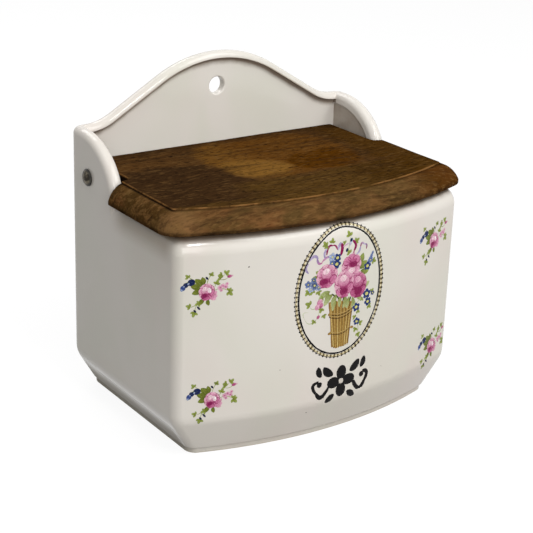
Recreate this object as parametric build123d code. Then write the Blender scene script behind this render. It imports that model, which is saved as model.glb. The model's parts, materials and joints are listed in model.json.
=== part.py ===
"""Wall salt box: a glazed earthenware body with a bowed front, and a wooden lid hinged on two pins.

Millimetres, +Z up. X runs across the front and -Y points at the person in front of the box. The origin
is under the middle of the box, on the surface that it stands on.
"""
import os
from math import asin, atan2, cos, hypot, radians, sin, sqrt

from build123d import *

CENTER, MIN, MAX = Align.CENTER, Align.MIN, Align.MAX
TOUCH = 0.01                # two places closer than this are the same

# ---- body: plan -------------------------------------------------------------------------------
body_width = 171.0          # across the flat sides
corner_depth = 106.0        # wall side to the line where the flat sides meet the bowed front
bow_rise = 16.5             # how far the front swells beyond that line
front_corner_radius = 6.5   # upright corners beside the front
back_corner_radius = 7.0    # upright corners beside the wall

# ---- body: heights ----------------------------------------------------------------------------
foot_height = 3.5           # standing ring
turn_height = 20.5          # above this level the walls are upright
rim_height = 115.5          # flat lip that the lid lies on
ear_rise = 27.9             # lip to the top of the ears and of the back's low ends
crest_rise = 30.8           # top of the ears to the top of the arched back

# ---- body: forms ------------------------------------------------------------------------------
side_turn_in = 10.2         # how far the sides draw in from turn_height down to the foot
front_turn_in = 6.5         # the same at the front
turn_radius = 14.0          # rounding where the walls start to draw in
foot_step = 1.0             # the foot stands back this far from the wall above it
foot_edge_radius = 0.8
foot_ring_width = 6.0
foot_hollow = 2.0           # recess under the floor, inside the standing ring
shoulder_radius = 10.0      # rounding from the walls up to the lip
crest_foot_radius = 28.0    # hollow arcs that run out level on both sides of the arched back
crest_slope = 33.2          # straight stretch between a hollow arc and the convex arc over the middle
ear_top_flat = 10.0         # level top of an ear, from the wall side
ear_reach = 46.5            # wall side to the front of an ear
ear_curve_drop = 2.9        # lip to where an ear's front edge stands upright
ear_flare_radius = 5.5      # hollow sweep from an ear's front edge into the shoulder

# ---- body: thicknesses ------------------------------------------------------------------------
wall = 6.0
floor = 6.0
lip_thickness = 5.0
lip_width = 12.5            # outer face of the wall to the edge of the mouth
lip_edge_radius = 1.5
rim_thickness = 7.4         # rolled edge of the ears and of the back
rim_width = 5.6             # the same edge, measured down the face
back_rim_width = 3.4         # on the back it is slimmer
back_recess = 2.4           # the back's face lies this far behind its rolled edge
ear_recess = 1.2            # the same on the inner face of an ear
edge_round = 3.5            # rounding on both sides of the rolled edge
inner_round = 2.0           # hollow rounding between the rolled edge and the face inside it
mouth_corner_radius = 7.0
well_corner_radius = 8.0
well_floor_radius = 5.0

# ---- hanging hole -----------------------------------------------------------------------------
hang_hole_radius = 4.6
hang_hole_drop = 18.6       # top of the back to the hole's centre
hang_hole_round = 0.9

# ---- lid --------------------------------------------------------------------------------------
lid_thickness = 10.2
lid_seat_gap = 0.1          # between the lip and the lid
lid_side_overhang = 4.5     # beyond the body's sides
lid_front_setback = 0.2     # behind the body's front
lid_corner_radius = 11.0    # in plan, at the front corners
shoulder_lap = 0.9          # the lid starts to widen this far behind the front of the ears
shoulder_slant = 4.4        # the widening edge leans this far forward towards the lid's sides
tongue_side_gap = 2.6       # between the narrow rear tongue and an ear's rolled edge
tongue_rear_gap = 0.8       # between the tongue and the back
tongue_rear_radius = 1.5    # upper and lower rear edges
field_step = 1.0            # the middle field stands this high above its moulding
moulding_side = 9.0         # width of the moulding along the sides
moulding_front = 11.2       # width of the moulding along the front
moulding_swell = 1.7        # rise of the moulding's arc over its chord
moulding_nose = 2.0         # underside of the lid to the foot of that arc

# ---- hinge pins -------------------------------------------------------------------------------
pin_setback = 21.0          # wall side to the hinge axis
pin_rise = 5.6              # underside of the lid to the hinge axis
pin_radius = 2.0
pin_running_clearance = 0.06
pin_press_clearance = 0.01
pin_grip = 18.0             # length of a pin inside the lid
pin_end_gap = 0.5
pin_head_radius = 4.4
pin_head_height = 2.4
pin_head_edge = 0.5         # upright edge below the dome
pin_head_gap = 0.3          # between a pin's head and the ear

# ---- what follows from these ------------------------------------------------------------------
half_width = body_width / 2
body_depth = corner_depth + bow_rise
wall_y = body_depth / 2                             # plane of the back
back_wall = rim_thickness - back_recess
ear_panel = rim_thickness - ear_recess
bow_radius = (half_width**2 + bow_rise**2) / (2 * bow_rise)
bow_centre_y = wall_y - body_depth + bow_radius     # upright axis that the bowed front turns about
ear_height = rim_height + ear_rise
crest_height = ear_height + crest_rise
ear_curve_base = rim_height - ear_curve_drop
upright_base = rim_height - shoulder_radius         # the ears and the back start inside the shoulder
crest_foot_x = half_width - rim_thickness           # the hollow arcs end at the ears
crest_radii = (crest_foot_x**2 + crest_rise**2 - crest_slope**2) / (2 * crest_rise)
crest_top_radius = crest_radii - crest_foot_radius
lip_underside = rim_height - lip_thickness
lid_bottom = rim_height + lid_seat_gap
lid_top = lid_bottom + lid_thickness
lid_half = half_width + lid_side_overhang
tongue_half = half_width - rim_thickness - tongue_side_gap
tongue_rear_y = wall_y - back_wall - tongue_rear_gap
pin_y = wall_y - pin_setback
pin_z = lid_bottom + pin_rise
hang_hole_z = crest_height - hang_hole_drop


def front_y(x, inset=0.0):
    """Y of the bowed front at x, drawn in by inset."""
    return bow_centre_y - sqrt((bow_radius - inset) ** 2 - x**2)


def plan(side_inset=0.0, front_inset=0.0, back_inset=0.0, front_round=1.0, back_round=1.0):
    """The box seen from above, drawn in from each side, as a face at Z = 0."""
    x = half_width - side_inset
    corner_y = front_y(x, front_inset)
    back_y = wall_y - back_inset
    outline = [
        Line((-x, back_y), (-x, corner_y)),
        ThreePointArc((-x, corner_y), (0, front_y(0, front_inset)), (x, corner_y)),
        Line((x, corner_y), (x, back_y)),
        Line((x, back_y), (-x, back_y)),
    ]
    face = make_face(outline)
    corners = face.vertices().sort_by(Axis.Y)
    face = fillet(corners[:2], front_round)
    corners = face.vertices().sort_by(Axis.Y)
    return fillet(corners[-2:], back_round)


def section(reach, turn_in, bottom_z, top_z, turn_round):
    """From u = 0 out to reach, where the wall is upright above turn_height and draws in below it."""
    share = (turn_height - bottom_z) / (turn_height - foot_height)
    foot_u = reach - turn_in * share
    points = [(0, bottom_z), (foot_u, bottom_z), (reach, turn_height), (reach, top_z), (0, top_z)]
    face = make_face([Line(start, end) for start, end in zip(points, points[1:] + points[:1])])
    knee = face.vertices().sort_by_distance((reach, turn_height, 0))[0]
    return Plane.XZ * fillet(knee, turn_round)


def box_form(inset, back_inset, bottom_z, top_z, front_round, back_round):
    """Box with straight sides, a bowed front and a flat back, drawn in by inset."""
    turn_round = turn_radius - inset
    side = section(half_width - inset, side_turn_in, bottom_z, top_z, turn_round)
    side = extrude(side, body_depth, both=True)
    bow = section(bow_radius - inset, front_turn_in, bottom_z, top_z, turn_round)
    bow = Pos(0, bow_centre_y, 0) * revolve(bow, Axis.Z, 360)
    back_y = wall_y - back_inset
    ahead = Pos(0, back_y, 0) * Box(body_width, 2 * body_depth, 2 * top_z, align=(CENTER, MAX, CENTER))
    form = (side + mirror(side, Plane.YZ)) & bow & ahead
    for at_front, rounding in ((True, front_round), (False, back_round)):
        upright = form.edges().filter_by(lambda e: abs(e.tangent_at(0.5).Z) > 0.5)
        form = fillet(upright.filter_by(lambda e: (e.center().Y < back_y - TOUCH) == at_front), rounding)
    return form


def crest_face(inset, side_x):
    """The back seen from the front, between -side_x and side_x, its top edge drawn in by inset.

    A convex arc over the middle meets two hollow arcs by straight slopes that touch both.
    """
    top_r = crest_top_radius - inset
    foot_r = crest_foot_radius + inset
    foot_x = crest_foot_x
    low = ear_height - inset
    top_centre = crest_height - crest_top_radius
    foot_centre = ear_height + crest_foot_radius
    rise = foot_centre - top_centre
    slope = asin((top_r + foot_r) / hypot(foot_x, rise)) - atan2(rise, foot_x)
    upper = (top_r * sin(slope), top_centre + top_r * cos(slope))
    lower = (foot_x - foot_r * sin(slope), foot_centre - foot_r * cos(slope))
    half_turn = slope / 2
    dip = (foot_x - foot_r * sin(half_turn), foot_centre - foot_r * cos(half_turn))
    right = [
        Line(upper, lower),
        ThreePointArc(lower, dip, (foot_x, low)),
        Line((side_x, low), (side_x, upright_base)),
    ]
    if side_x > foot_x:
        right.append(Line((foot_x, low), (side_x, low)))
    left = [mirror(edge, Plane.YZ) for edge in right]
    arch = ThreePointArc((-upper[0], upper[1]), (0, top_centre + top_r), upper)
    bottom = Line((-side_x, upright_base), (side_x, upright_base))
    return Plane.XZ * make_face([arch, bottom] + right + left)


def ear_face(inset, flare):
    """An ear seen from the side, its top and front drawn in by inset, with a hollow sweep at its foot."""
    top = ear_height - inset
    flat_y = wall_y - ear_top_flat
    reach_y = wall_y - ear_reach + inset
    curve = EllipticalCenterArc(
        (flat_y, ear_curve_base), flat_y - reach_y, top - ear_curve_base, start_angle=90, arc_size=90
    )
    outline = [Line((wall_y, upright_base), (wall_y, top)), Line((wall_y, top), (flat_y, top)), curve]
    knee_z = upright_base + flare
    outline.append(Line((reach_y, ear_curve_base), (reach_y, knee_z)))
    if flare:
        centre = (reach_y - flare, knee_z)
        bend = (centre[0] + flare * cos(radians(45)), centre[1] - flare * sin(radians(45)))
        outline.append(ThreePointArc((reach_y, knee_z), bend, (centre[0], upright_base)))
    outline.append(Line((reach_y - flare, upright_base), (wall_y, upright_base)))
    return Plane.YZ * make_face(outline)


def standing_on(form, axis, level):
    """Edges of form that lie in the plane axis = level, above the foot of the uprights."""
    flat = form.edges().filter_by_position(axis, level - TOUCH, level + TOUCH)
    return flat.filter_by(lambda e: e.center().Z > ear_curve_base)


def not_upright(edges):
    return edges.filter_by(lambda e: not (e.geom_type == GeomType.LINE and abs(e.tangent_at(0.5).Z) > 0.9))


def upright_blank(spare):
    """The back and both ears as thick plates, their outer sides moved out by spare."""
    thickness = rim_thickness + spare
    back = Pos(0, wall_y + spare, 0) * extrude(crest_face(0, half_width + spare), thickness, dir=(0, -1, 0))
    ear = Pos(half_width + spare, 0, 0) * extrude(ear_face(0, ear_flare_radius), thickness, dir=(-1, 0, 0))
    return back, ear


def outer_rounded():
    """The uprights with their upright corners and their outer top edges rounded."""
    back, ear = upright_blank(0)
    form = back + ear + mirror(ear, Plane.YZ)
    corners = form.edges().filter_by(Axis.Z).filter_by_position(Axis.Y, wall_y - TOUCH, wall_y + TOUCH)
    form = fillet(corners, back_corner_radius)
    rolled = standing_on(form, Axis.Y, wall_y) + standing_on(form, Axis.X, half_width)
    rolled = not_upright(rolled + standing_on(form, Axis.X, -half_width))
    corner_arcs = form.edges().filter_by(GeomType.CIRCLE).filter_by_position(
        Axis.Z, ear_height - TOUCH, ear_height + TOUCH
    )
    return fillet(rolled + corner_arcs, edge_round)


def inner_rounded():
    """The same uprights with their inner top edges rounded, and far too thick on the outside."""
    back, ear = upright_blank(body_width)
    back = fillet(not_upright(standing_on(back, Axis.Y, wall_y - rim_thickness)), edge_round)
    ear = fillet(not_upright(standing_on(ear, Axis.X, half_width - rim_thickness)), edge_round)
    return back + ear + mirror(ear, Plane.YZ)


def recess():
    """What is taken from the inner faces, so that the rolled edge stands proud of them."""
    side_x = half_width - ear_panel
    back_y = wall_y - back_wall
    depth = ear_top_flat - back_wall
    over_back = Pos(0, back_y, 0) * extrude(crest_face(rim_width, side_x), depth, dir=(0, -1, 0))
    slim = crest_face(back_rim_width, crest_foot_x)
    over_back += Pos(0, back_y, 0) * extrude(slim, rim_thickness - back_wall, dir=(0, -1, 0))
    between_ears = Pos(side_x, 0, 0) * extrude(ear_face(rim_width, 0), 2 * side_x, dir=(-1, 0, 0))
    behind = Pos(0, back_y, 0) * Box(body_width, body_depth, crest_height * 2, align=(CENTER, MIN, CENTER))
    return over_back + (between_ears - behind)


def uprights():
    """The arched back and the two ears, with a rolled edge round their tops."""
    form = (outer_rounded() & inner_rounded()) - recess()
    creases = not_upright(standing_on(form, Axis.Y, wall_y - back_wall))
    form = fillet(creases.filter_by(lambda e: e.center().Z > ear_height - rim_width), inner_round)
    return form


def well():
    """The hollow for the salt: inside the walls up to the lip, then out through the mouth."""
    corner = well_corner_radius
    bottom = foot_height + floor
    hollow = box_form(wall, back_wall, bottom, lip_underside, corner, corner)
    hollow = fillet(hollow.faces().sort_by(Axis.Z)[0].edges(), well_floor_radius)
    inset = lip_width
    through = rim_height - lip_underside
    mouth = plan(inset, inset, back_wall, mouth_corner_radius, mouth_corner_radius)
    mouth = Pos(0, 0, lip_underside - lip_thickness) * extrude(mouth, through + 2 * lip_thickness)
    front_of_ears = wall_y - ear_reach + rim_width
    between_ears = Pos(0, front_of_ears, lip_underside) * Box(
        2 * (half_width - ear_panel),
        wall_y - back_wall - front_of_ears,
        through + lip_thickness,
        align=(CENTER, MIN, MIN),
    )
    return hollow + mouth + between_ears


def foot():
    """Standing ring under the floor."""
    side = side_turn_in + foot_step
    front = front_turn_in + foot_step
    outer = extrude(plan(side, front, foot_step, front_corner_radius, back_corner_radius), foot_height)
    outer = fillet(outer.faces().sort_by(Axis.Z)[0].edges(), foot_edge_radius)
    ring = foot_ring_width
    inner = plan(side + ring, front + ring, foot_step + ring, front_corner_radius, back_corner_radius)
    return outer - extrude(inner, foot_hollow)


def crosswise(radius, x_from, x_to):
    """Cylinder along X on the hinge axis."""
    start = Plane(origin=(x_from, pin_y, pin_z), z_dir=(1, 0, 0))
    return start * Cylinder(radius, x_to - x_from, align=(CENTER, CENTER, MIN))


def mouth_edges(form):
    """Edges of the mouth at the top of the lip, in front of the ears."""
    top = form.edges().filter_by_position(Axis.Z, rim_height - TOUCH, rim_height + TOUCH)
    inside = top.filter_by_position(Axis.X, lip_width - half_width - TOUCH, half_width - lip_width + TOUCH)
    front_of_ears = wall_y - ear_reach + rim_width
    return inside.filter_by_position(Axis.Y, front_y(0, lip_width) - TOUCH, front_of_ears - TOUCH)


def body():
    """The glazed body: box, ears and arched back in one casting."""
    box = box_form(0, 0, foot_height, rim_height, front_corner_radius, back_corner_radius)
    box = fillet(box.faces().sort_by(Axis.Z)[-1].edges(), shoulder_radius)
    form = box + uprights() + foot() - well()
    hang_hole = Plane.XZ * extrude(Circle(hang_hole_radius), body_depth, both=True)
    form -= Pos(0, 0, hang_hole_z) * hang_hole
    rims = form.edges().filter_by(GeomType.CIRCLE)
    form = fillet(rims.filter_by(lambda e: abs(e.radius - hang_hole_radius) < TOUCH), hang_hole_round)
    form = fillet(mouth_edges(form), lip_edge_radius)
    return form - crosswise(pin_radius + pin_running_clearance, -body_width, body_width)


def moulding_arc(inner_u, outer_u):
    """Arc from the foot of the lid's middle field, at inner_u, out and down to its nose, at outer_u."""
    high = (inner_u, lid_top - field_step)
    low = (outer_u, lid_bottom + moulding_nose)
    length = hypot(low[0] - high[0], low[1] - high[1])
    out = ((high[1] - low[1]) / length, (low[0] - high[0]) / length)
    middle_u = (high[0] + low[0]) / 2 + out[0] * moulding_swell
    middle_z = (high[1] + low[1]) / 2 + out[1] * moulding_swell
    return ThreePointArc(high, (middle_u, middle_z), low)


def moulded_side():
    """Right half of the lid seen from the front, run along Y."""
    field = lid_half - moulding_side
    outline = [
        Line((0, lid_bottom), (lid_half, lid_bottom)),
        Line((lid_half, lid_bottom), (lid_half, lid_bottom + moulding_nose)),
        moulding_arc(field, lid_half),
        Line((field, lid_top - field_step), (field, lid_top)),
        Line((field, lid_top), (0, lid_top)),
        Line((0, lid_top), (0, lid_bottom)),
    ]
    return extrude(Plane.XZ * make_face(outline), body_depth, both=True)


def moulded_front():
    """The lid's front, turned about the upright axis of the bowed front."""
    reach = bow_radius - lid_front_setback
    field = reach - moulding_front
    outline = [
        Line((0, lid_bottom), (reach, lid_bottom)),
        Line((reach, lid_bottom), (reach, lid_bottom + moulding_nose)),
        moulding_arc(field, reach),
        Line((field, lid_top - field_step), (field, lid_top)),
        Line((field, lid_top), (0, lid_top)),
        Line((0, lid_top), (0, lid_bottom)),
    ]
    turned = revolve(Plane.XZ * make_face(outline), Axis.Z, 360)
    return Pos(0, bow_centre_y, 0) * turned


def lid_outline():
    """The lid seen from above: a tongue between the ears, shoulders, and the overhanging bowed front."""
    tongue_front = wall_y - ear_reach + shoulder_lap
    side_rear = tongue_front - shoulder_slant
    corner_y = front_y(lid_half, lid_front_setback)
    right = [
        Line((tongue_half, tongue_rear_y), (tongue_half, tongue_front)),
        Line((tongue_half, tongue_front), (lid_half, side_rear)),
        Line((lid_half, side_rear), (lid_half, corner_y)),
    ]
    left = [mirror(edge, Plane.YZ) for edge in right]
    front = ThreePointArc((-lid_half, corner_y), (0, front_y(0, lid_front_setback)), (lid_half, corner_y))
    rear = Line((-tongue_half, tongue_rear_y), (tongue_half, tongue_rear_y))
    face = make_face([front, rear] + right + left)
    return fillet(face.vertices().sort_by(Axis.Y)[:2], lid_corner_radius)


def lid():
    """Wooden lid: one board with a raised middle field, moulded on its sides and front."""
    side = moulded_side()
    form = extrude(Pos(0, 0, lid_bottom) * lid_outline(), lid_thickness)
    form = form & (side + mirror(side, Plane.YZ)) & moulded_front()
    rear = form.edges().filter_by(Axis.X).sort_by(Axis.Y)[-2:]
    form = fillet(rear, tongue_rear_radius)
    bore = crosswise(pin_radius + pin_press_clearance, tongue_half - pin_grip - pin_end_gap, body_width)
    return form - bore - mirror(bore, Plane.YZ)


def hinge_pin():
    """Right hinge pin: a shank through the ear into the lid, and a domed head, turned in one piece."""
    tip = tongue_half - pin_grip
    seat = half_width + pin_head_gap
    rim = seat + pin_head_edge
    crown = seat + pin_head_height
    rise = crown - rim
    dome_radius = (pin_head_radius**2 + rise**2) / (2 * rise)
    half_turn = asin(pin_head_radius / dome_radius) / 2
    centre = crown - dome_radius
    on_dome = (centre + dome_radius * cos(half_turn), dome_radius * sin(half_turn))
    outline = [
        Line((tip, 0), (tip, pin_radius)),
        Line((tip, pin_radius), (seat, pin_radius)),
        Line((seat, pin_radius), (seat, pin_head_radius)),
        Line((seat, pin_head_radius), (rim, pin_head_radius)),
        ThreePointArc((rim, pin_head_radius), on_dome, (crown, 0)),
        Line((crown, 0), (tip, 0)),
    ]
    return Pos(0, pin_y, pin_z) * revolve(Plane.XZ * make_face(outline), Axis.X, 360)


right_pin = hinge_pin()
pieces = {
    "body": body(),
    "lid": lid(),
    "hinge_pin_right": right_pin,
    "hinge_pin_left": mirror(right_pin, Plane.YZ),
}
os.makedirs("parts", exist_ok=True)
for name, piece in pieces.items():
    export_step(piece, f"parts/{name}.step")
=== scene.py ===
"""Looks of a wall salt box: glazed earthenware with a printed flower basket, and a stained wooden lid.

Metres, in the frame of the CAD model. Sizes that a maker would read off the object are written in
millimetres and turned into metres where a mesh is made.
"""
import json
from math import asin, atan, atan2, cos, hypot, pi, prod, radians, sin, sqrt, tan

import bpy
import numpy as np
from mathutils import Matrix, Vector


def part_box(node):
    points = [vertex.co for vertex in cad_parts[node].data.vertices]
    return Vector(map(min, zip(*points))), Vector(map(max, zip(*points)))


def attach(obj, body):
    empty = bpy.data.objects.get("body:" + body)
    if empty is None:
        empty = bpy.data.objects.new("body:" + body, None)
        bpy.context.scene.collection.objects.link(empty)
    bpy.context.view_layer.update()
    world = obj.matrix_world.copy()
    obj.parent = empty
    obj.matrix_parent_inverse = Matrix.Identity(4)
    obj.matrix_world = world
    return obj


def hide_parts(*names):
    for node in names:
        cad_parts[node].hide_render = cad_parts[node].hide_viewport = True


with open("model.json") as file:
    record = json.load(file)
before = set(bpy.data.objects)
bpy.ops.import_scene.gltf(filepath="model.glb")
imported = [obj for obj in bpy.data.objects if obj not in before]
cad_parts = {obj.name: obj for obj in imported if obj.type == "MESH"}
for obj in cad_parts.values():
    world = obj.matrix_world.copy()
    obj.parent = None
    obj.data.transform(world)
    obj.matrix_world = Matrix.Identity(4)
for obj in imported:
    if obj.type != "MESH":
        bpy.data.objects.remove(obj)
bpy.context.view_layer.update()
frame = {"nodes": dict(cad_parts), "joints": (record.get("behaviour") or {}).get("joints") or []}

MM = 0.001

# ---- sizes that the looks share with the solids, in millimetres -------------------------------
body_low, body_high = (np.array(corner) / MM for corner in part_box("body"))
lid_low, lid_high = (np.array(corner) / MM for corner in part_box("lid"))
bow_rise = 16.5
shoulder_radius = 10.0
rim_height = 115.5
turn_height = 20.5
turn_radius = 14.0
front_turn_in = 6.5
foot_height = 3.5
front_corner_radius = 6.5
half_width = body_high[0]
bow_radius = (half_width**2 + bow_rise**2) / (2 * bow_rise)
bow_centre_y = body_low[1] + bow_radius
rim_thickness = 7.4
ear_recess = 1.2
back_wall = 5.0
back_rim_width = 3.4
rim_width = 5.6
ear_flat_y = body_high[1] - 10.0
ear_front_y = body_high[1] - 46.5
ear_curve_base = rim_height - 2.9
crest_rise = 30.8
crest_slope = 33.2
crest_foot_radius = 28.0
crest_foot_x = half_width - rim_thickness
crest_height = body_high[2]
crest_radii = (crest_foot_x**2 + crest_rise**2 - crest_slope**2) / (2 * crest_rise)
crest_top_radius = crest_radii - crest_foot_radius

# ---- lid, in millimetres ----------------------------------------------------------------------
lid_half = lid_high[0]
lid_front_setback = 0.2
lid_corner_radius = 11.0
lid_side_rear = 11.25           # the overhanging sides end here
tongue_half = 75.5
tongue_front = 15.65
tongue_corner = 1.5
rear_arris = 1.4                # rounding along the rear edge
arris = 0.55                    # rounding along every other edge
planing = 0.05                  # height of the slow waves that a hand plane left in the top
field_step = 1.0
moulding_side = 9.0
moulding_front = 11.2
moulding_swell = 1.7
moulding_nose = 2.0
step_corner = 1.2               # rounding of the step line at the front corners
crack_x, crack_y = 7.5, -5.7    # middle of a short crack in the top
crack_half = 3.23
crack_width = 0.476

# ---- hinge pins, in millimetres ---------------------------------------------------------------
hinge_y, hinge_z = (place / MM for place in frame["joints"][0]["pos_m"][1:])
pin_low, pin_high = (np.array(corner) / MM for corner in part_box("hinge_pin_left"))
head_radius = (pin_high[2] - pin_low[2]) / 2

# ---- colours, as they look in plain daylight (0 to 255) ---------------------------------------
WHITE = (255, 255, 255)
PAPER = (250, 250, 250)
FLOOR_GREY = (142, 139, 134)
GLAZE = (215, 210, 202)
GLAZE_PINK = (211, 202, 194)
GLAZE_GREEN = (209, 207, 195)
BISQUE = (196, 184, 160)
SPECK = (70, 58, 50)
# painted shade and painted shadow on the glaze, named for where they fall
FOOT_SHADE = (100, 90, 70)
LID_SHADOW = (90, 66, 38)
SIDE_LID_SHADOW = (126, 100, 62)
CREST_CREASE_SHADE = (112, 92, 72)
EAR_SHADE = (138, 118, 96)
FOOT_RING_SHADE = (150, 144, 128)
SCREEN_GREY = (222, 218, 214)
WALNUT = (64, 43, 22)
# dark stain of the wood, also used for painted shade along the rear of the lid's top
PEAT_AND_SHADE = (48, 32, 18)
UMBER = (76, 51, 25)
OLIVE = (76, 54, 22)
OLIVE_DARK = (62, 41, 11)
RUSSET = (66, 42, 10)
HONEY = (90, 57, 20)
AMBER = (76, 44, 6)
STRAW_WOOD = (118, 83, 35)
TAN = (112, 80, 46)
MOULDING = (78, 56, 30)
MOULDING_GREEN = (74, 58, 30)
MOULDING_RED = (112, 66, 38)
MOULDING_SIDE = (58, 38, 12)
MOULDING_WORN = (124, 92, 58)
MOULDING_RIGHT = (72, 42, 10)
# lighter rounded edges of the lid: wear and painted highlight
EDGE_WEAR_HIGHLIGHT = (146, 104, 60)
FLECK = (120, 90, 52)
# dark of pores and the crack, also used for painted shade and shadow on the lid
PORE_AND_SHADE = (20, 12, 7)
# painted shadow in the corner under the lid's step
STEP_SHADOW = (12, 8, 5)
# painted shade round the rim of the pin heads
HEAD_RIM_SHADE = (16, 14, 12)
STEEL = (44, 40, 34)
STEEL_WORN = (122, 114, 98)
INK = (14, 13, 14)
INK_BROWN = (60, 50, 34)
GOLD = (180, 164, 116)
BEAD_GROUND = (128, 114, 80)
CREAM = (234, 227, 196)
ROSE_DEEP = (134, 34, 84)
ROSE_DARK = (164, 66, 114)
ROSE = (196, 106, 150)
ROSE_SOFT = (214, 142, 176)
ROSE_PALE = (232, 188, 206)
ROSE_LIGHT = (244, 226, 230)
ROSE_TONES = (ROSE_DEEP, ROSE_DARK, ROSE, ROSE_SOFT, ROSE_PALE, ROSE_LIGHT)
LEAF_DARK = (88, 98, 32)
LEAF = (122, 134, 50)
LEAF_FRESH = (156, 172, 92)
LEAF_PALE = (188, 200, 148)
BLUE_DEEP = (20, 34, 80)
BLUE = (54, 74, 138)
BLUE_PALE = (134, 154, 200)
BLUE_MIST = (188, 200, 224)
DARK_BLUES = (BLUE_DEEP, BLUE)
LILAC = (150, 136, 182)
LILAC_PALE = (192, 180, 212)
MAGENTA = (140, 30, 84)
BUTTER = (210, 206, 128)
STRAW = (184, 152, 84)
STRAW_DARK = (138, 104, 46)
STRAW_LIGHT = (214, 190, 124)


def linear(colour):
    """Colour written as daylight values, as the light that a renderer counts in."""
    share = np.asarray(colour, float) / 255
    return np.where(share <= 0.04045, share / 12.92, ((share + 0.055) / 1.055) ** 2.4)


def rgba(colour):
    return (*linear(colour), 1.0)


# ---- node trees -------------------------------------------------------------------------------
class Value:
    """A number in a node tree. Arithmetic on it adds the Math nodes that work it out."""

    def __init__(self, finish, socket):
        self.finish = finish
        self.socket = socket

    def math(self, operation, first, second):
        return self.finish.value("ShaderNodeMath", {"operation": operation}, {0: first, 1: second})

    def __add__(self, other):
        return self.math("ADD", self, other)

    def __radd__(self, other):
        return self.math("ADD", other, self)

    def __sub__(self, other):
        return self.math("SUBTRACT", self, other)

    def __rsub__(self, other):
        return self.math("SUBTRACT", other, self)

    def __mul__(self, other):
        return self.math("MULTIPLY", self, other)

    def __rmul__(self, other):
        return self.math("MULTIPLY", other, self)

    def __pow__(self, other):
        return self.math("POWER", self, other)

    def __abs__(self):
        return self.math("ABSOLUTE", self, 0)

    def least(self, other):
        return self.math("MINIMUM", self, other)

    def most(self, other):
        return self.math("MAXIMUM", self, other)


class Finish:
    """The node tree of a material or of the world, with one method that adds its nodes."""

    def __init__(self, owner):
        owner.use_nodes = True
        self.owner = owner
        self.tree = owner.node_tree
        self.tree.nodes.clear()

    def node(self, kind, settings=None, inputs=None):
        """Adds a node. Its settings come first, then each input gets its value or its link."""
        made = self.tree.nodes.new(kind)
        for name, setting in (settings or {}).items():
            setattr(made, name, setting)
        for name, wanted in (inputs or {}).items():
            wanted = wanted.socket if isinstance(wanted, Value) else wanted
            if isinstance(wanted, bpy.types.NodeSocket):
                self.tree.links.new(wanted, made.inputs[name])
            else:
                made.inputs[name].default_value = wanted
        return made

    def value(self, kind, settings=None, inputs=None, output=0):
        return Value(self, self.node(kind, settings, inputs).outputs[output])

    def place(self):
        return self.node("ShaderNodeTexCoord").outputs["Object"]

    def axes(self):
        """X, Y and Z of the shaded point, in millimetres."""
        split = self.node("ShaderNodeSeparateXYZ", None, {0: self.place()})
        return [Value(self, output) * 1000 for output in split.outputs]

    def stretched(self, scale, turn=(0, 0, 0)):
        settings = {"vector_type": "POINT"}
        inputs = {"Vector": self.place(), "Scale": scale, "Rotation": turn}
        return self.node("ShaderNodeMapping", settings, inputs).outputs[0]

    def noise(self, where, scale, detail=3.0, roughness=0.5, distortion=0.0):
        inputs = {"Vector": where, "Scale": scale, "Detail": detail}
        inputs.update({"Roughness": roughness, "Distortion": distortion})
        return self.value("ShaderNodeTexNoise", None, inputs)

    def band(self, value, low, high):
        """Smooth rise from 0 at low to 1 at high, or a fall where high is below low."""
        falls = high < low
        settings = {"interpolation_type": "SMOOTHSTEP"}
        inputs = {"Value": value, "From Min": min(low, high), "From Max": max(low, high)}
        inputs.update({"To Min": float(falls), "To Max": float(not falls)})
        return self.value("ShaderNodeMapRange", settings, inputs)

    def zone(self, *edges):
        """Product of bands, each given by its value and the places where it is 0 and where it is 1."""
        return prod(self.band(*edge) for edge in edges)

    def attribute(self, name, output="Fac"):
        found = self.node("ShaderNodeAttribute", {"attribute_name": name}).outputs[output]
        return Value(self, found) if output == "Fac" else found

    def mix(self, share, first, second, blend="MIX"):
        """Colour that is first where share is 0 and second where it is 1."""
        first, second = (rgba(c) if isinstance(c, tuple) else c for c in (first, second))
        settings = {"data_type": "RGBA", "blend_type": blend}
        return self.node("ShaderNodeMix", settings, {0: share, 6: first, 7: second}).outputs[2]

    def coats(self, colour, *layers):
        """Colour with others laid over it in turn, each given by its share and its colour."""
        for share, over in layers:
            colour = self.mix(share, colour, over)
        return colour

    def bump(self, height, distance, strength=1.0, below=None):
        inputs = {"Height": height, "Distance": distance, "Strength": strength}
        if below:
            inputs["Normal"] = below
        return self.node("ShaderNodeBump", None, inputs).outputs[0]

    def surface(self, shader):
        kind = "World" if isinstance(self.owner, bpy.types.World) else "Material"
        self.node(f"ShaderNodeOutput{kind}", None, {"Surface": shader.outputs[0]})
        return self.owner

    def principled(self, inputs):
        return self.surface(self.node("ShaderNodeBsdfPrincipled", None, inputs))


def material(name):
    return Finish(bpy.data.materials.new(name))


# ---- finishes: places in millimetres, depths of bumps in metres, noise scales per metre --------
def glaze_base(finish):
    """Uneven warm white of a tin glaze: pinkish and greenish clouds."""
    clouds = finish.band(finish.noise(finish.place(), 11.0, 2.0), 0.38, 0.62)
    drift = finish.band(finish.noise(finish.stretched((1, 1, 0.6)), 19.0, 2.0, 0.5, 0.6), 0.42, 0.7)
    return finish.coats(GLAZE, (clouds, GLAZE_PINK), (drift * 0.8, GLAZE_GREEN))


def glaze_normal(finish):
    """Slow waves of a hand-dipped glaze, with a faint orange peel on them."""
    waves = finish.noise(finish.place(), 22.0, 1.0)
    peel = finish.noise(finish.place(), 420.0, 2.0)
    low = finish.bump(waves, 0.0012, 0.35)
    return finish.bump(peel, 0.00004, 0.5, low)


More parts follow.
